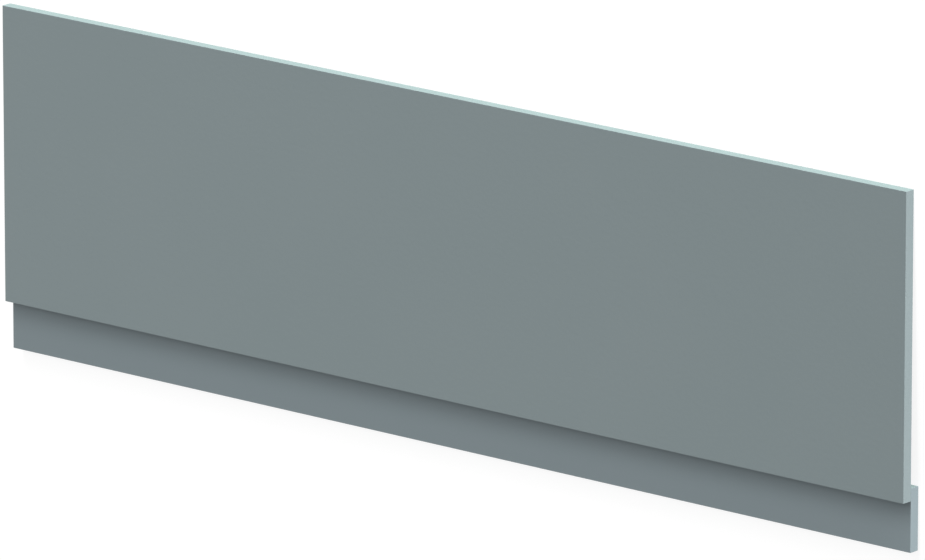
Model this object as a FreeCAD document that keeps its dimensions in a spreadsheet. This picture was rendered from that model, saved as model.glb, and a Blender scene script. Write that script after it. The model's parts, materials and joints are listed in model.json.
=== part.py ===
# A bath panel, lying face up: a long front board with a plinth board lapped behind its lower edge.
#
# Each board is drawn in the panel's own axes and then laid down by its Placement. In those axes X runs
# along the boards, Y runs up the panel's face and Z points out of its face. The lap plane, where the
# panel's back meets the plinth's front, is Z = 0, and the panel's lower edge is Y = 0.
#
# On the floor the pair rests on two long arrises, the plinth's upper back one and the panel's upper back
# one, so it leans by a small angle that follows from the boards' own sizes.

import FreeCAD, Part
import enum
import os
import Sketcher

# Driving dimensions: lengths in millimetres, the countersink's angle in degrees, and one count.
SIZES = {
    "board_length": "1800",
    "panel_height": "480",
    "panel_thickness": "18",
    "plinth_height": "100",
    "plinth_thickness": "18",
    "plinth_lap": "20",
    "arris_radius": "0.5",
    "screw_count": "5",
    "screw_end_inset": "50",
    "screw_clearance_bore": "4.5",
    "countersink_bore": "8.5",
    "countersink_angle": "90",
    "pilot_bore": "3",
    "pilot_face_cover": "5",
}

# The screws run in a row midway up the lap, equally far from the plinth's top and the panel's foot.
SCREW_ROW_HEIGHT = "Sizes.plinth_lap / 2"
SCREW_ROW_LENGTH = "(Sizes.board_length - 2 * Sizes.screw_end_inset)"

# The lean on the floor, and the shift that puts the resting pair's base centre on the origin.
LEAN = "atan(Sizes.plinth_thickness / (Sizes.panel_height - Sizes.plinth_lap))"
SHIFT_Y = (
    f"-((Sizes.panel_height + Sizes.plinth_lap - Sizes.plinth_height) * cos({LEAN})"
    f" + (Sizes.panel_thickness - Sizes.plinth_thickness) * sin({LEAN})) / 2"
)
SHIFT_Z = (
    f"(Sizes.panel_height - Sizes.arris_radius) * sin({LEAN})"
    f" + Sizes.arris_radius * (1 - cos({LEAN}))"
)

# Half the width of a sketch as it is first drawn, before its dimensions pull it to the sheet's sizes.
DRAFT_REACH = 1.0


class Point(enum.IntEnum):
    """How a sketch constraint names a point of a line or circle."""

    START = 1
    END = 2
    CENTRE = 3


class Axis(enum.IntEnum):
    """How a sketch constraint names the sketch's own axes. X starts at the sketch's origin."""

    X = -1
    Y = -2


def add_sheet(doc):
    """Spreadsheet of the driving dimensions, one named cell each."""
    sheet = doc.addObject("Spreadsheet::Sheet", "Sizes")
    for row, (name, value) in enumerate(SIZES.items(), start=1):
        sheet.set(f"A{row}", name)
        sheet.set(f"B{row}", value)
        sheet.setAlias(f"B{row}", name)
    doc.recompute()


def add_body(doc, label):
    """Empty body, laid on the floor by its Placement: top edge down by the lean, about the X axis."""
    body = doc.addObject("PartDesign::Body", label)
    body.Label = label
    downward_turn = FreeCAD.Rotation(FreeCAD.Vector(-1, 0, 0), 1)
    body.Placement = FreeCAD.Placement(FreeCAD.Vector(), downward_turn)
    body.setExpression("Placement.Rotation.Angle", LEAN)
    body.setExpression("Placement.Base.y", SHIFT_Y)
    body.setExpression("Placement.Base.z", SHIFT_Z)
    return body


def add_sketch(body, name, height_above_lap):
    """Sketch parallel to the boards' faces, at a height above the lap plane."""
    sketch = body.newObject("Sketcher::SketchObject", name)
    plane = next(feature for feature in body.Origin.OriginFeatures if feature.Role == "XY_Plane")
    sketch.AttachmentSupport = [(plane, "")]
    sketch.MapMode = "FlatFace"
    sketch.setExpression("AttachmentOffset.Base.z", height_above_lap)
    return sketch


def add_dimension(sketch, name, constraint, expression):
    """Named dimension of a sketch, driven by the sheet."""
    sketch.renameConstraint(sketch.addConstraint(constraint), name)
    sketch.setExpression(f"Constraints.{name}", expression)


def draw_board_outline(sketch, bottom, top):
    """Rectangle of the boards' length, centred on the Y axis, from a bottom to a top height."""
    signs = ((-1, -1), (1, -1), (1, 1), (-1, 1))
    corners = [FreeCAD.Vector(x * DRAFT_REACH, y * DRAFT_REACH, 0) for x, y in signs]
    sides = [Part.LineSegment(a, b) for a, b in zip(corners, corners[1:] + corners[:1])]
    lower, right, upper, left = sketch.addGeometry(sides, False)
    for side, following in ((lower, right), (right, upper), (upper, left), (left, lower)):
        sketch.addConstraint(Sketcher.Constraint("Coincident", side, Point.END, following, Point.START))
    for side in (left, right):
        sketch.addConstraint(Sketcher.Constraint("Vertical", side))
    sketch.addConstraint(Sketcher.Constraint("Horizontal", upper))
    lower_ends = (lower, Point.START, lower, Point.END)
    sketch.addConstraint(Sketcher.Constraint("Symmetric", *lower_ends, Axis.Y))
    length = Sketcher.Constraint("DistanceX", *lower_ends, 2 * DRAFT_REACH)
    lower_height = Sketcher.Constraint("DistanceY", Axis.X, Point.START, lower, Point.START, -DRAFT_REACH)
    upper_height = Sketcher.Constraint("DistanceY", Axis.X, Point.START, upper, Point.START, DRAFT_REACH)
    add_dimension(sketch, "length", length, "Sizes.board_length")
    add_dimension(sketch, "bottom", lower_height, bottom)
    add_dimension(sketch, "top", upper_height, top)


def add_board(doc, label, bottom, top, thickness, in_front_of_lap):
    """Board with every arris eased, padded from the lap plane to the front or to the back."""
    body = add_body(doc, label)
    outline = add_sketch(body, f"{label}_outline", "0")
    draw_board_outline(outline, bottom, top)
    pad = body.newObject("PartDesign::Pad", f"{label}_pad")
    pad.Profile = outline
    pad.Reversed = not in_front_of_lap
    pad.setExpression("Length", thickness)
    doc.recompute()
    eased = body.newObject("PartDesign::Fillet", f"{label}_eased")
    eased.Base = (pad, [])
    eased.UseAllEdges = True
    eased.setExpression("Radius", "Sizes.arris_radius")
    doc.recompute()
    return body


def add_screw_row(doc, body, drilled_face_height, bore, set_up_hole):
    """Row of like holes, drilled towards the panel's face from the board's back."""
    first = add_sketch(body, f"{body.Label}_first_screw", drilled_face_height)
    centre = FreeCAD.Vector(-DRAFT_REACH, DRAFT_REACH, 0)
    circle = Part.Circle(centre, FreeCAD.Vector(0, 0, 1), DRAFT_REACH)
    mark = first.addGeometry(circle, False)
    left_of_middle = Sketcher.Constraint("DistanceX", mark, Point.CENTRE, Axis.X, Point.START, DRAFT_REACH)
    above_foot = Sketcher.Constraint("DistanceY", Axis.X, Point.START, mark, Point.CENTRE, DRAFT_REACH)
    add_dimension(first, "left_of_middle", left_of_middle, f"{SCREW_ROW_LENGTH} / 2")
    add_dimension(first, "above_foot", above_foot, SCREW_ROW_HEIGHT)
    add_dimension(first, "bore", Sketcher.Constraint("Diameter", mark, 2 * DRAFT_REACH), bore)
    doc.recompute()

    hole = body.newObject("PartDesign::Hole", f"{body.Label}_screw_hole")
    hole.Profile = first
    hole.Reversed = True
    doc.recompute()
    hole.setExpression("Diameter", bore)
    set_up_hole(hole)
    doc.recompute()

    row = body.newObject("PartDesign::LinearPattern", f"{body.Label}_screw_row")
    row.Originals = [hole]
    row.Direction = (first, ["H_Axis"])
    row.setExpression("Length", SCREW_ROW_LENGTH)
    row.setExpression("Occurrences", "Sizes.screw_count")
    body.Tip = row
    doc.recompute()


def set_up_clearance_hole(hole):
    """Countersunk hole right through the plinth, clear of the screw's shank."""
    hole.DepthType = "ThroughAll"
    hole.HoleCutType = "Countersink"
    hole.HoleCutCustomValues = True
    hole.setExpression("HoleCutDiameter", "Sizes.countersink_bore")
    hole.setExpression("HoleCutCountersinkAngle", "Sizes.countersink_angle")


def set_up_pilot_hole(hole):
    """Blind hole for the screw's thread, which leaves a cover of board behind the panel's face."""
    hole.DepthType = "Dimension"
    hole.DrillPoint = "Flat"
    hole.setExpression("Depth", "Sizes.panel_thickness - Sizes.pilot_face_cover")


def add_front_panel(doc):
    """The show board, which reaches from the plinth's recess up to the bath's rim."""
    body = add_board(
        doc,
        "front_panel",
        bottom="0",
        top="Sizes.panel_height",
        thickness="Sizes.panel_thickness",
        in_front_of_lap=True,
    )
    add_screw_row(doc, body, "0", "Sizes.pilot_bore", set_up_pilot_hole)
    return body


def add_plinth(doc):
    """The set-back foot board, lapped behind the panel and screwed to it from the back."""
    body = add_board(
        doc,
        "plinth",
        bottom="Sizes.plinth_lap - Sizes.plinth_height",
        top="Sizes.plinth_lap",
        thickness="Sizes.plinth_thickness",
        in_front_of_lap=False,
    )
    back_height = "-Sizes.plinth_thickness"
    add_screw_row(doc, body, back_height, "Sizes.screw_clearance_bore", set_up_clearance_hole)
    return body


def check(doc, boards):
    """Stops the build if a feature failed or a board isn't one valid solid."""
    for feature in doc.Objects:
        if {"Invalid", "Error"} & set(feature.State):
            raise RuntimeError(f"{feature.Label} failed: {feature.State}")
    for board in boards:
        shape = board.Shape
        if shape.isNull() or not shape.isValid() or len(shape.Solids) != 1:
            raise RuntimeError(f"{board.Label} isn't one valid solid")


def export(boards):
    """Writes each board as a STEP file named after it, and prints its volume and rest height."""
    os.makedirs("parts", exist_ok=True)
    for board in boards:
        board.Shape.exportStep(f"parts/{board.Label}.step")
        box = board.Shape.BoundBox
        print(f"{board.Label}: {board.Shape.Volume:.0f} mm3, from {box.ZMin:.3f} to {box.ZMax:.3f} mm up")


def main():
    """Builds the panel as a parametric document and exports its boards."""
    doc = FreeCAD.newDocument("BathPanel")
    add_sheet(doc)
    boards = [add_front_panel(doc), add_plinth(doc)]
    doc.recompute()
    check(doc, boards)
    export(boards)


main()
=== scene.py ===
"""Bath panel lying face up: its boards' finish, the screws behind its plinth, and the studio around it.

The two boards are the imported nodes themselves, with a lacquer that suits them. Their sizes and places are
read from the frame, in the panel's own axes: along the boards, up the panel's face, and out of that face.
"""

import enum
import json
import logging
import math
from dataclasses import dataclass, field
from typing import Any

import bmesh
import bpy
from mathutils import Matrix, Vector

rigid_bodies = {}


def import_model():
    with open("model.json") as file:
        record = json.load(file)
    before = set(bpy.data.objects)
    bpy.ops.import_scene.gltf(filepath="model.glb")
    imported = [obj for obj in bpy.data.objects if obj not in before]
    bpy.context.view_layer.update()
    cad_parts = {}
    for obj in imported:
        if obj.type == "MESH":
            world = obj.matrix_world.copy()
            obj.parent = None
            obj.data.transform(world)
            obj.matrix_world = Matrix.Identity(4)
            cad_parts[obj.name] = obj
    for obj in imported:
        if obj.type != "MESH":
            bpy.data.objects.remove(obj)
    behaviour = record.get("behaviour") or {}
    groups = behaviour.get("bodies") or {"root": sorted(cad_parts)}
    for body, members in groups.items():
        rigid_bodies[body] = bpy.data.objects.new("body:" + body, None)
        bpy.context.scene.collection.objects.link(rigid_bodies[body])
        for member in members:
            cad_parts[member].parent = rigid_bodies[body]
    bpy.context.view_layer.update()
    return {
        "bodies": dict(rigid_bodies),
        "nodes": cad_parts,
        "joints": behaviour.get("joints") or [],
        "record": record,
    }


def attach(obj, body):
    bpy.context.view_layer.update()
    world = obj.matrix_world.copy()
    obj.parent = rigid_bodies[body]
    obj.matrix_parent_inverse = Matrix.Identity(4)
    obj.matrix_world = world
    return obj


LOG = logging.getLogger("bath_panel")
MM = 0.001
BODY = "root"
WHITE = (1.0, 1.0, 1.0, 1.0)
BYTE_MAX = 255
# The sRGB curve: a straight toe, then a power law.
SRGB_TOE_END = 0.04045
SRGB_TOE_SLOPE = 12.92
SRGB_LIFT = 0.055
SRGB_GAMMA = 2.4
# Outputs that share their name with others of the same node, by their place among them.
MIX_COLOUR_OUTPUT = 2
RANDOM_NUMBER_OUTPUT = 1


class Board(enum.Enum):
    """The two boards, by the names of their nodes."""

    FRONT_PANEL = "front_panel"
    PLINTH = "plinth"


class LacquerBatch(enum.Enum):
    """The boards' lacquer colours, by their thin and thick film. The plinth's is bluer, as painted shade.
    """

    PANEL = ("#788486", "#7B8688")
    # Painted shade: the plinth's lacquer is bluer for the bluish shade it lies in under the panel.
    PLINTH = ("#788488", "#7B868A")


class Lamp(enum.Enum):
    """The kinds of lamp in the studio."""

    SUN = "SUN"
    SOFTBOX = "AREA"


def linear(colour: str) -> tuple[float, float, float, float]:
    """Turns an sRGB hex colour into linear light.

    Args:
        colour: Six hex digits after a hash sign.

    Returns:
        Linear red, green and blue, and an alpha of 1.
    """
    shares = [channel / BYTE_MAX for channel in bytes.fromhex(colour.removeprefix("#"))]
    red, green, blue = [
        share / SRGB_TOE_SLOPE
        if share <= SRGB_TOE_END
        else ((share + SRGB_LIFT) / (1 + SRGB_LIFT)) ** SRGB_GAMMA
        for share in shares
    ]
    return red, green, blue, 1.0


def add_node(
    tree: bpy.types.NodeTree,
    kind: str,
    settings: dict[str, Any] | None = None,
    inputs: dict[str, Any] | None = None,
) -> bpy.types.Node:
    """Adds a node to a tree, with its settings and what goes into it.

    Args:
        tree: The tree that the node is added to.
        kind: The node's type name.
        settings: Values of the node's own properties.
        inputs: By socket identifier, a value or another node's output socket to link from.

    Returns:
        The new node.
    """
    node = tree.nodes.new(kind)
    for name, value in (settings or {}).items():
        setattr(node, name, value)
    sockets = {socket.identifier: socket for socket in node.inputs}
    for name, value in (inputs or {}).items():
        if isinstance(value, bpy.types.NodeSocket):
            tree.links.new(value, sockets[name])
        else:
            sockets[name].default_value = value
    return node


def new_material(name: str) -> tuple[bpy.types.Material, bpy.types.NodeTree]:
    """Makes an empty node material.

    Args:
        name: The material's name.

    Returns:
        The material and its cleared node tree.
    """
    material = bpy.data.materials.new(name)
    material.use_nodes = True
    material.node_tree.nodes.clear()
    return material, material.node_tree


@dataclass(frozen=True)
class Pattern:
    """A mottled pattern, by the width of its marks in metres and the finer layers that break them up."""

    width: float
    detail: float


class Finish:
    """A surface finish that makes its own material."""

    def material(self) -> bpy.types.Material:
        """The finish as a node material."""
        raise NotImplementedError


@dataclass(frozen=True)
class SatinLacquer(Finish):
    """Lacquer sprayed on medium-density fibreboard and cured to a soft satin.

    The eye gets one even blue-grey with no grain, a faint clouding where the film is thicker, a broad
    dull sheen, and the slight orange peel of a sprayed coat. The boards' cut edges drink more of it, so
    they dry a little duller and show the fibres as a fine nap. The edges that face up the boards carry
    painted light, a greener colour for the tinted light that falls on them. Face and top are the ways
    out of the show face and up the boards.
    """

    face: tuple[float, float, float]
    top: tuple[float, float, float]
    batch: LacquerBatch
    # The painted top light: a greener colour for the tinted light on the edges that face up the boards.
    upper_film: str = "#758685"
    ior: float = 1.5
    specular_level: float = 0.3
    roughness: float = 0.5
    roughness_swing: float = 0.04
    edge_dullness: float = 0.06
    clouds: Pattern = Pattern(260 * MM, detail=2)
    sheen_patches: Pattern = Pattern(70 * MM, detail=3)
    # Sprayed orange peel is 1 to 3 mm wide. It is drawn at 6 mm and higher, so that a pixel can hold it.
    peel: Pattern = Pattern(6 * MM, detail=1)
    peel_height: float = 0.1 * MM
    # Fibres are some 0.1 mm thick. Their nap is drawn at 0.8 mm, so that a close view shows it.
    nap: Pattern = Pattern(0.8 * MM, detail=2)
    nap_height: float = 0.06 * MM
    # How squarely a surface faces out or back where it isn't yet and where it is a cut edge.
    edge_turn: tuple[float, float] = (0.95, 0.6)
    # How squarely a surface faces up the boards where it gets no painted top light yet and where it gets
    # all of it.
    upper_turn: tuple[float, float] = (0.6, 0.95)

    def cut_edges(
        self,
        tree: bpy.types.NodeTree,
        normal: bpy.types.NodeSocket,
    ) -> tuple[bpy.types.NodeSocket, bpy.types.NodeSocket]:
        """Adds a factor for the boards' cut edges and one for the painted light on their upper edges alone.

        Args:
            tree: The material's node tree.
            normal: The output socket that gives the way a surface faces.

        Returns:
            The output sockets of both factors, each 1 on its edges and 0 on a board's face and back.
        """
        outward, upward = [
            add_node(
                tree,
                "ShaderNodeVectorMath",
                settings={"operation": "DOT_PRODUCT"},
                inputs={"Vector": normal, "Vector_001": way},
            ).outputs["Value"]
            for way in (self.face, self.top)
        ]
        squarely = add_node(
            tree,
            "ShaderNodeMath",
            settings={"operation": "ABSOLUTE"},
            inputs={"Value": outward},
        ).outputs["Value"]
        cut_edge, upper_edge = [
            add_node(
                tree,
                "ShaderNodeMapRange",
                inputs={"Value": facing, "From Min": not_yet, "From Max": fully},
            ).outputs["Result"]
            for facing, (not_yet, fully) in ((squarely, self.edge_turn), (upward, self.upper_turn))
        ]
        return cut_edge, upper_edge

    def material(self) -> bpy.types.Material:
        """Mixes the lacquer.

        Returns:
            The lacquer as a node material.
        """
        material, tree = new_material(f"satin_lacquered_mdf_{self.batch.name.lower()}")
        thin_film, thick_film = self.batch.value
        source = add_node(tree, "ShaderNodeTexCoord").outputs
        clouds, patches, peel, nap = [
            add_node(
                tree,
                "ShaderNodeTexNoise",
                inputs={"Vector": source["Object"], "Scale": 1 / pattern.width, "Detail": pattern.detail},
            ).outputs["Fac"]
            for pattern in (self.clouds, self.sheen_patches, self.peel, self.nap)
        ]
        cut_edge, upper_edge = self.cut_edges(tree, source["Normal"])
        colour = add_node(
            tree,
            "ShaderNodeMix",
            settings={"data_type": "RGBA"},
            inputs={"Factor_Float": clouds, "A_Color": linear(thin_film), "B_Color": linear(thick_film)},
        ).outputs[MIX_COLOUR_OUTPUT]
        # Painted light: the edges that face up the boards are mixed towards a greener colour for the tinted
        # light on them.
        edged_colour = add_node(
            tree,
            "ShaderNodeMix",
            settings={"data_type": "RGBA"},
            inputs={"Factor_Float": upper_edge, "A_Color": colour, "B_Color": linear(self.upper_film)},
        ).outputs[MIX_COLOUR_OUTPUT]
        satin = add_node(
            tree,
            "ShaderNodeMapRange",
            inputs={
                "Value": patches,
                "To Min": self.roughness - self.roughness_swing,
                "To Max": self.roughness + self.roughness_swing,
            },
        )
        roughness = add_node(
            tree,
            "ShaderNodeMath",
            settings={"operation": "MULTIPLY_ADD"},
            inputs={
                "Value": cut_edge,
                "Value_001": self.edge_dullness,
                "Value_002": satin.outputs["Result"],
            },
        )
        sprayed = add_node(tree, "ShaderNodeBump", inputs={"Height": peel, "Distance": self.peel_height})
        napped = add_node(
            tree,
            "ShaderNodeBump",
            inputs={
                "Strength": cut_edge,
                "Height": nap,
                "Distance": self.nap_height,
                "Normal": sprayed.outputs["Normal"],
            },
        )
        shader = add_node(
            tree,
            "ShaderNodeBsdfPrincipled",
            inputs={
                "Base Color": edged_colour,
                "Roughness": roughness.outputs["Value"],
                "Normal": napped.outputs["Normal"],
                "IOR": self.ior,
                "Specular IOR Level": self.specular_level,
            },
        )
        add_node(tree, "ShaderNodeOutputMaterial", inputs={"Surface": shader.outputs["BSDF"]})
        return material


@dataclass(frozen=True)
class ZincPlate(Finish):
    """Bright zinc plating on a steel screw, barrel-plated and passivated.

    The eye gets a pale, slightly blue metal with a soft shine that is duller in patches.
    """

    name: str = "zinc_plated_steel"
    colour: str = "#C3C7CA"
    dull_colour: str = "#AEB3B8"
    roughness: float = 0.3
    roughness_swing: float = 0.09
    patches: Pattern = Pattern(1.4 * MM, detail=3)

    def material(self) -> bpy.types.Material:
        """Plates the steel.

        Returns:
            The plating as a node material.
        """
        material, tree = new_material(self.name)
        place = add_node(tree, "ShaderNodeTexCoord").outputs["Object"]
        patches = add_node(
            tree,
            "ShaderNodeTexNoise",
            inputs={"Vector": place, "Scale": 1 / self.patches.width, "Detail": self.patches.detail},
        ).outputs["Fac"]
        colour = add_node(
            tree,
            "ShaderNodeMix",
            settings={"data_type": "RGBA"},
            inputs={
                "Factor_Float": patches,
                "A_Color": linear(self.colour),
                "B_Color": linear(self.dull_colour),
            },
        )
        roughness = add_node(
            tree,
            "ShaderNodeMapRange",
            inputs={
                "Value": patches,
                "To Min": self.roughness - self.roughness_swing,
                "To Max": self.roughness + self.roughness_swing,
            },
        )
        shader = add_node(
            tree,
            "ShaderNodeBsdfPrincipled",
            inputs={
                "Base Color": colour.outputs[MIX_COLOUR_OUTPUT],
                "Roughness": roughness.outputs["Result"],
                "Metallic": 1.0,
            },
        )
        add_node(tree, "ShaderNodeOutputMaterial", inputs={"Surface": shader.outputs["BSDF"]})
        return material


@dataclass(frozen=True)
class PalePaintedFloor(Finish):
    """Flat white paint on a studio floor.

    The eye gets plain white with a faint soft shadow. For light that bounces it is ordinary white paint.
    """

    name: str = "white_floor_paint"
    colour: str = "#E9EAEA"
    shown_glow: float = 0.87
    shown_paint: str = "#757575"

    def material(self) -> bpy.types.Material:
        """Mixes the floor paint.

        Returns:
            The paint as a node material.
        """
        material, tree = new_material(self.name)
        shown = seen_directly(tree)
        paint = add_node(tree, "ShaderNodeBsdfDiffuse", inputs={"Color": linear(self.colour)})
        shown_paint = add_node(tree, "ShaderNodeBsdfDiffuse", inputs={"Color": linear(self.shown_paint)})
        glow = add_node(tree, "ShaderNodeEmission", inputs={"Strength": self.shown_glow})
        picture = add_node(
            tree,
            "ShaderNodeAddShader",
            inputs={"Shader": shown_paint.outputs["BSDF"], "Shader_001": glow.outputs["Emission"]},
        )
        surface = add_node(
            tree,
            "ShaderNodeMixShader",
            inputs={
                "Fac": shown,
                "Shader": paint.outputs["BSDF"],
                "Shader_001": picture.outputs["Shader"],
            },
        )
        add_node(tree, "ShaderNodeOutputMaterial", inputs={"Surface": surface.outputs["Shader"]})
        return material


def seen_directly(tree: bpy.types.NodeTree) -> bpy.types.NodeSocket:
    """Adds a factor that is 1 for what the camera, a reflection or a clear body shows of a surface.

    Args:
        tree: The tree that the nodes are added to.

    Returns:
        The factor's output socket, 0 for light that bounces.
    """
    path = add_node(tree, "ShaderNodeLightPath")
    factor = path.outputs["Is Camera Ray"]
    for kind in ("Is Glossy Ray", "Is Transmission Ray"):
        factor = add_node(
            tree,
            "ShaderNodeMath",
            settings={"operation": "MAXIMUM"},
            inputs={"Value": factor, "Value_001": path.outputs[kind]},
        ).outputs["Value"]
    return factor


@dataclass(frozen=True)
class PanelAxes:
    """The panel's own axes in the row's frame, and the boards' reach along them in metres.

    The origin is at mid length, where the panel's foot meets the lap plane between the boards.
    """

    up: Vector
    out: Vector
    along: Vector
    origin: Vector
    half_length: float
    panel_thickness: float
    lap: float
    plinth_thickness: float

    @classmethod
    def from_frame(cls, frame: dict[str, Any]) -> "PanelAxes":
        """Reads the axes from the mounts and the boards' reach from their meshes.


        Returns:
            The panel's axes.
        """
        mounts = {mount["name"]: mount for mount in frame["record"]["mounts"]}
        up = Vector(mounts["top_edge"]["axis"]).normalized()
        out = -Vector(mounts["plinth_back"]["axis"]).normalized()
        points = {board: [v.co for v in frame["nodes"][board.value].data.vertices] for board in Board}
        panel_up = [point.dot(up) for point in points[Board.FRONT_PANEL]]
        panel_out = [point.dot(out) for point in points[Board.FRONT_PANEL]]
        plinth_up = [point.dot(up) for point in points[Board.PLINTH]]
        plinth_out = [point.dot(out) for point in points[Board.PLINTH]]
        return cls(
            up=up,
            out=out,
            along=up.cross(out),
            origin=up * min(panel_up) + out * min(panel_out),
            half_length=max(point.x for point in points[Board.FRONT_PANEL]),
            panel_thickness=max(panel_out) - min(panel_out),
            lap=max(plinth_up) - min(panel_up),
            plinth_thickness=max(plinth_out) - min(plinth_out),
        )

    def direction(self, along: float, up: float, out: float) -> Vector:
        """A direction given in the panel's axes, in the row's frame."""
        return self.along * along + self.up * up + self.out * out

    def place(self, along: float, up: float, out: float) -> Vector:
        """A point given in the panel's axes, in the row's frame."""
        return self.origin + self.direction(along, up, out)


@dataclass
class Boards:
    """The show board and the plinth lapped behind its foot, as the frame gives them."""

    nodes: dict[str, bpy.types.Object]
    finishes: dict[Board, Finish]

    def dress(self) -> None:
        """Gives each board its finish on every face."""
        for board, finish in self.finishes.items():
            material = finish.material()
            for slot in self.nodes[board.value].material_slots:
                slot.material = material
            LOG.info("%s: %s", board.value, material.name)


@dataclass(frozen=True)
class CountersunkScrew:
    """A cross-recess wood screw with its head's top at the origin and its head facing up +Z."""

    length: float = 30 * MM
    head_radius: float = 3.8 * MM
    head_rim: float = 0.25 * MM
    rim_ease: float = 0.12 * MM
    core_radius: float = 1.3 * MM
    thread_radius: float = 2.0 * MM
    thread_pitch: float = 1.8 * MM
    ridge_share: float = 0.4
    point_length: float = 5 * MM
    recess_arms: int = 4
    recess_reach: float = 2.2 * MM
    recess_half_width: float = 0.55 * MM
    recess_depth: float = 1.7 * MM
    recess_taper: float = 0.55
    # Points round the shank. A pitch of the thread has as many rows of them, so its crest stays smooth.
    sides: int = 20
    sharp_degrees: float = 35

    def shank_radius(self, row: int, side: int, depth: float) -> float:
        """The shank's radius, with the thread's ridge, its run-in below the head and the point's taper.

        Args:
            row: Count of rows of points below the head's cone.
            side: Count of points round the shank.
            depth: Distance below the head's top.

        Returns:
            The radius there.
        """
        turns = (row + side) / self.sides
        from_crest = abs(turns - round(turns))
        ridge = max(0.0, 1 - from_crest / (self.ridge_share / 2)) * min(1.0, row / self.sides)
        full = self.core_radius + (self.thread_radius - self.core_radius) * ridge
        return full * min(1.0, (self.length - depth) / self.point_length)

    def rings(self) -> list[list[Vector]]:
        """Lays out the screw's outside.

        Returns:
            Rings of points, from the head's rim down to the last one above the point.
        """
        cone_end = self.head_rim + self.head_radius - self.core_radius
        profile = [
            (0.0, self.head_radius - self.rim_ease),
            (self.rim_ease, self.head_radius),
            (self.head_rim, self.head_radius),
            (cone_end, self.core_radius),
        ]
        sides = range(self.sides)
        rings = [[self.point(depth, side, radius) for side in sides] for depth, radius in profile]
        row_height = self.thread_pitch / self.sides
        for row in range(1, int((self.length - cone_end) / row_height)):
            depth = cone_end + row * row_height
            rings.append([self.point(depth, side, self.shank_radius(row, side, depth)) for side in sides])
        return rings

    def point(self, depth: float, side: int, radius: float) -> Vector:
        """A point at a depth, a side's turn and a radius about the screw's axis."""
        angle = math.tau * side / self.sides
        return Vector((radius * math.cos(angle), radius * math.sin(angle), -depth))

    def recess_outline(self, share: float, depth: float) -> list[Vector]:
        """Lays out the cross recess at a depth.

        Args:
            share: Its size there, as a share of its size at the head's top.
            depth: Distance below the head's top.

        Returns:
            The corners of its outline.
        """
        reach, half = self.recess_reach * share, self.recess_half_width * share
        arm = [Vector((x, y, -depth)) for x, y in ((half, half), (half, reach), (-half, reach))]
        step = math.tau / self.recess_arms
        turns = [Matrix.Rotation(step * index, 3, "Z") for index in range(self.recess_arms)]
        return [turn @ corner for turn in turns for corner in arm]

    def mesh(self) -> bpy.types.Mesh:
        """Makes the screw.

        Returns:
            The screw as one closed mesh.
        """
        model = bmesh.new()
        rings = [[model.verts.new(point) for point in ring] for ring in self.rings()]
        tip = model.verts.new((0, 0, -self.length))
        recess_rim, recess_floor = [
            [model.verts.new(point) for point in self.recess_outline(share, depth)]
            for share, depth in ((1.0, 0.0), (self.recess_taper, self.recess_depth))
        ]
        bridge_rings(model, rings)
        bridge_rings(model, [recess_rim, recess_floor])
        top_ring, last_ring = rings[0], rings[-1]
        for here, following in zip(last_ring, last_ring[1:] + last_ring[:1]):
            model.faces.new((here, following, tip))
        fill_between(model, [top_ring, recess_rim])
        fill_between(model, [recess_floor])
        bmesh.ops.recalc_face_normals(model, faces=model.faces)
        mesh = bpy.data.meshes.new("countersunk_screw")
        model.to_mesh(mesh)
        model.free()
        mesh.shade_smooth()
        mesh.set_sharp_from_angle(angle=math.radians(self.sharp_degrees))
        return mesh


def bridge_rings(model: bmesh.types.BMesh, rings: list[list[bmesh.types.BMVert]]) -> None:
    """Joins rings of as many points each with bands of triangles, split along a right-hand thread.

    Args:
        model: The mesh that holds the points.
        rings: The rings, in order.
    """
    for ring, below in zip(rings, rings[1:]):
        count = len(ring)
        for index in range(count):
            following = (index + 1) % count
            model.faces.new((ring[index], ring[following], below[index]))
            model.faces.new((ring[following], below[following], below[index]))


def fill_between(model: bmesh.types.BMesh, loops: list[list[bmesh.types.BMVert]]) -> None:
    """Fills the flat area inside the first loop and outside the others.

    Args:
        model: The mesh that holds the loops.
        loops: Closed loops of points whose edges are already in the mesh.
    """
    edges = [
        model.edges.get((here, following))
        for loop in loops
        for here, following in zip(loop, loop[1:] + loop[:1])
    ]
    bmesh.ops.triangle_fill(model, edges=edges, use_beauty=True)


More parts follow.
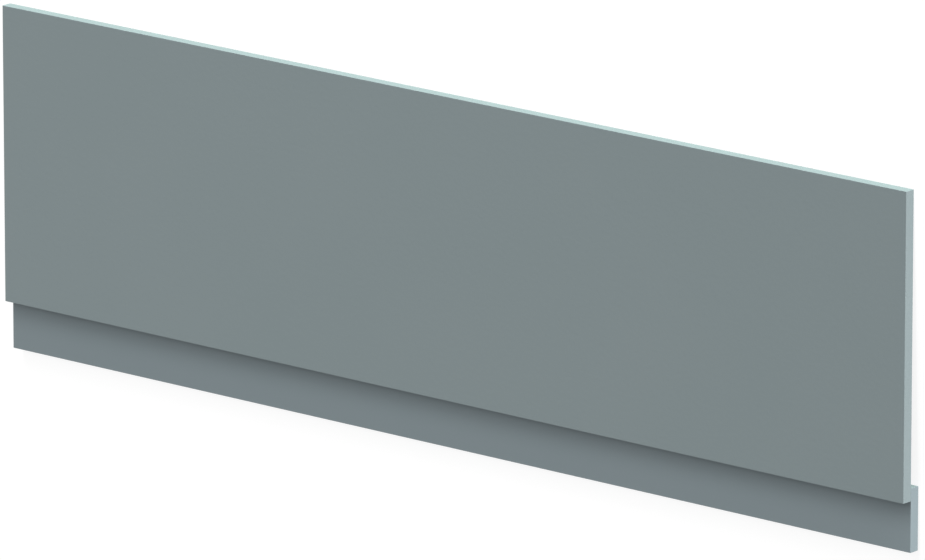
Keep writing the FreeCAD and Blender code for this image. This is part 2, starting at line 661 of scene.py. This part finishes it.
@dataclass
class ScrewRow:
    """The screws that hold the plinth to the panel, driven from the plinth's back in the lap's middle."""

    axes: PanelAxes
    screw: CountersunkScrew = field(default_factory=CountersunkScrew)
    finish: Finish = field(default_factory=ZincPlate)
    count: int = 5
    end_inset: float = 50 * MM
    countersink_radius: float = 4.25 * MM
    turn_seed: int = 7

    def tree(self) -> bpy.types.GeometryNodeTree:
        """Builds the nodes that repeat a screw along a line, each turned differently about its own axis.

        Returns:
            The node tree, with an input for each of the row's values.
        """
        tree = bpy.data.node_groups.new("screw_row", "GeometryNodeTree")
        sockets = {
            "Screw": "NodeSocketGeometry",
            "Count": "NodeSocketInt",
            "First": "NodeSocketVector",
            "Step": "NodeSocketVector",
            "Facing": "NodeSocketRotation",
            "Turn Seed": "NodeSocketInt",
            "Finish": "NodeSocketMaterial",
        }
        for name, kind in sockets.items():
            tree.interface.new_socket(name, in_out="INPUT", socket_type=kind)
        tree.interface.new_socket("Row", in_out="OUTPUT", socket_type="NodeSocketGeometry")
        given = add_node(tree, "NodeGroupInput").outputs
        line = add_node(
            tree,
            "GeometryNodeMeshLine",
            inputs={"Count": given["Count"], "Start Location": given["First"], "Offset": given["Step"]},
        )
        angle = add_node(
            tree,
            "FunctionNodeRandomValue",
            settings={"data_type": "FLOAT"},
            inputs={"Max_001": math.tau / self.screw.recess_arms, "Seed": given["Turn Seed"]},
        )
        turn = add_node(
            tree,
            "FunctionNodeAxisAngleToRotation",
            inputs={"Axis": (0, 0, 1), "Angle": angle.outputs[RANDOM_NUMBER_OUTPUT]},
        )
        facing = add_node(
            tree,
            "FunctionNodeRotateRotation",
            settings={"rotation_space": "LOCAL"},
            inputs={"Rotation": given["Facing"], "Rotate By": turn.outputs["Rotation"]},
        )
        row = add_node(
            tree,
            "GeometryNodeInstanceOnPoints",
            inputs={
                "Points": line.outputs["Mesh"],
                "Instance": given["Screw"],
                "Rotation": facing.outputs["Rotation"],
            },
        )
        real = add_node(
            tree,
            "GeometryNodeRealizeInstances",
            inputs={"Geometry": row.outputs["Instances"]},
        )
        dressed = add_node(
            tree,
            "GeometryNodeSetMaterial",
            inputs={"Geometry": real.outputs["Geometry"], "Material": given["Finish"]},
        )
        output = add_node(tree, "NodeGroupOutput")
        tree.links.new(dressed.outputs["Geometry"], output.inputs["Row"])
        return tree

    def build(self) -> bpy.types.Object:
        """Builds the row as one plain mesh.

        Returns:
            The screws' object, riding with the boards.
        """
        axes = self.axes
        half_row = axes.half_length - self.end_inset
        sink = self.countersink_radius - self.screw.head_radius
        head_out = sink - axes.plinth_thickness
        first = axes.place(-half_row, axes.lap / 2, head_out)
        step = axes.along * (2 * half_row / (self.count - 1))
        piece = bpy.data.objects.new("plinth_screws", self.screw.mesh())
        bpy.context.scene.collection.objects.link(piece)
        repeat = piece.modifiers.new("screw_row", "NODES")
        repeat.node_group = self.tree()
        values = {
            "Count": self.count,
            "First": first,
            "Step": step,
            "Facing": (-axes.out).to_track_quat("Z", "Y").to_euler(),
            "Turn Seed": self.turn_seed,
            "Finish": self.finish.material(),
        }
        for socket in repeat.node_group.interface.items_tree:
            if socket.name in values:
                repeat[socket.identifier] = values[socket.name]
        evaluated = piece.evaluated_get(bpy.context.evaluated_depsgraph_get())
        mesh = bpy.data.meshes.new_from_object(evaluated)
        piece.modifiers.remove(repeat)
        piece.data = mesh
        mesh.name = "plinth_screws"
        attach(piece, BODY)
        LOG.info("%s: %d screws, %d faces", piece.name, self.count, len(mesh.polygons))
        return piece


@dataclass(frozen=True)
class StudioLamp:
    """One soft white lamp, by the angles it shines from in degrees and how bright it makes white paint.

    Softness is how wide the lamp is, in degrees for a sun and in metres for a softbox. Offset is how far a
    softbox stands from the origin, in metres.
    """

    name: str
    kind: Lamp
    azimuth: float
    elevation: float
    light: float
    softness: float
    offset: float = 0.0

    def build(self) -> bpy.types.Object:
        """Adds the lamp to the scene.

        Returns:
            The lamp's object.
        """
        lamp = bpy.data.lights.new(self.name, self.kind.value)
        item = bpy.data.objects.new(self.name, lamp)
        bpy.context.scene.collection.objects.link(item)
        azimuth, elevation = math.radians(self.azimuth), math.radians(self.elevation)
        towards = Vector((
            math.cos(elevation) * math.cos(azimuth),
            math.cos(elevation) * math.sin(azimuth),
            math.sin(elevation),
        ))
        item.rotation_euler = towards.to_track_quat("Z", "Y").to_euler()
        # White paint shows a sun's strength over pi, or a softbox's power over pi and its offset squared.
        if self.kind is Lamp.SUN:
            lamp.energy = math.pi * self.light
            lamp.angle = math.radians(self.softness)
        else:
            lamp.energy = (math.pi * self.offset) ** 2 * self.light
            lamp.shape = "DISK"
            lamp.size = self.softness
            item.location = towards * self.offset
        item.visible_camera = False
        # The lacquer's sheen shows the white room and no separate lamps.
        item.visible_glossy = False
        LOG.info("%s: %s", self.name, self.kind.name.lower())
        return item


@dataclass
class Studio:
    """Pale floor, plain soft light and the camera.

    Angles are in degrees, the lens and sensor in millimetres and other lengths in metres. The camera's
    angles are in the panel's axes and the lamps' in the row's frame.
    """

    axes: PanelAxes
    floor_finish: Finish = field(default_factory=PalePaintedFloor)
    floor_reach: float = 40.0
    sky_light: float = 0.462
    sky_shown: float = 1.0
    softbox: StudioLamp = StudioLamp(
        "softbox_overhead",
        Lamp.SOFTBOX,
        azimuth=125,
        elevation=60,
        light=0.080,
        softness=1.2,
        offset=3.2,
    )
    # The bank's rows, from low to high, by their elevation and light.
    bank_rows: tuple[tuple[float, float], ...] = (
        (20, 0.200),
        (27, 0.163),
        (34, 0.118),
        (42, 0.062),
        (50, 0.053),
        (58, 0.050),
    )
    bank_azimuth: float = 90
    bank_softness: float = 9.5
    strip_azimuths: tuple[float, ...] = (25, 36, 47, 58, 69, 80)
    strip_elevation: float = 0.35
    strip_light: float = 0.355
    camera_azimuth: float = 40.11
    camera_elevation: float = 14.992
    camera_distance: float = 18.988
    camera_lens: float = 484.34
    camera_sensor: float = 36.0
    camera_reach: float = 200.0
    aim_along: float = 42.75 * MM
    aim_up: float = 197.07 * MM

    def build(self) -> None:
        """Builds floor, light and camera."""
        self.build_floor()
        self.build_sky()
        for lamp in [self.softbox] + self.bank() + self.strip():
            lamp.build()
        self.build_camera()

    def bank(self) -> list[StudioLamp]:
        """Stands a tall bank of lamps off the panel's top edge.

        Returns:
            A lamp for each of the bank's rows.
        """
        return [
            StudioLamp(
                f"bank_{elevation:.0f}",
                Lamp.SUN,
                azimuth=self.bank_azimuth,
                elevation=elevation,
                light=light,
                softness=self.bank_softness,
            )
            for elevation, light in self.bank_rows
        ]

    def strip(self) -> list[StudioLamp]:
        """Runs a strip of lamps just above the floor, round the corner of top edge and right end.

        Returns:
            The strip's lamps.
        """
        return [
            StudioLamp(
                f"strip_{azimuth:.0f}",
                Lamp.SUN,
                azimuth=azimuth,
                elevation=self.strip_elevation,
                light=self.strip_light,
                softness=2 * self.strip_elevation,
            )
            for azimuth in self.strip_azimuths
        ]

    def build_floor(self) -> None:
        """Lays a wide floor under the boards."""
        reach = self.floor_reach
        mesh = bpy.data.meshes.new("floor")
        corners = [(-reach, -reach, 0), (reach, -reach, 0), (reach, reach, 0), (-reach, reach, 0)]
        mesh.from_pydata(corners, [], [(0, 1, 2, 3)])
        mesh.materials.append(self.floor_finish.material())
        floor = bpy.data.objects.new("floor", mesh)
        bpy.context.scene.collection.objects.link(floor)

    def build_sky(self) -> None:
        """Makes the room's even light, which shows as white."""
        world = bpy.data.worlds.new("studio")
        bpy.context.scene.world = world
        world.use_nodes = True
        tree = world.node_tree
        tree.nodes.clear()
        shown = seen_directly(tree)
        light, white = [
            add_node(tree, "ShaderNodeBackground", inputs={"Color": WHITE, "Strength": strength})
            for strength in (self.sky_light, self.sky_shown)
        ]
        mix = add_node(
            tree,
            "ShaderNodeMixShader",
            inputs={
                "Fac": shown,
                "Shader": light.outputs["Background"],
                "Shader_001": white.outputs["Background"],
            },
        )
        add_node(tree, "ShaderNodeOutputWorld", inputs={"Surface": mix.outputs["Shader"]})

    def build_camera(self) -> None:
        """Sets the camera where it sees the face from its upper right, with the panel's up upright."""
        azimuth, elevation = math.radians(self.camera_azimuth), math.radians(self.camera_elevation)
        axes = self.axes
        back = axes.direction(
            math.sin(azimuth) * math.cos(elevation),
            math.sin(elevation),
            math.cos(azimuth) * math.cos(elevation),
        )
        right = axes.direction(math.cos(azimuth), 0, -math.sin(azimuth))
        upward = back.cross(right)
        target = axes.place(self.aim_along, self.aim_up, axes.panel_thickness)
        lens = bpy.data.cameras.new("camera")
        lens.sensor_width = self.camera_sensor
        lens.lens = self.camera_lens
        lens.clip_end = self.camera_reach
        camera = bpy.data.objects.new("camera", lens)
        turn = Matrix((right, upward, back)).transposed().to_4x4()
        camera.matrix_world = Matrix.Translation(target + back * self.camera_distance) @ turn
        bpy.context.scene.collection.objects.link(camera)
        bpy.context.scene.camera = camera
        LOG.info("camera: %.1f m away", self.camera_distance)


def main() -> None:
    """Dresses the boards, adds the screws and sets up the studio."""
    logging.basicConfig(level=logging.INFO, format="%(name)s: %(message)s")
    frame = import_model()
    bpy.context.scene.view_settings.view_transform = "Standard"
    axes = PanelAxes.from_frame(frame)
    face, top = tuple(axes.out), tuple(axes.up)
    lacquers = {
        Board.FRONT_PANEL: SatinLacquer(face, top, LacquerBatch.PANEL),
        # The plinth's lacquer carries painted shade: a bluer copy of the panel's.
        Board.PLINTH: SatinLacquer(face, top, LacquerBatch.PLINTH),
    }
    Boards(frame["nodes"], lacquers).dress()
    ScrewRow(axes).build()
    Studio(axes).build()


if __name__ == "__main__":
    main()
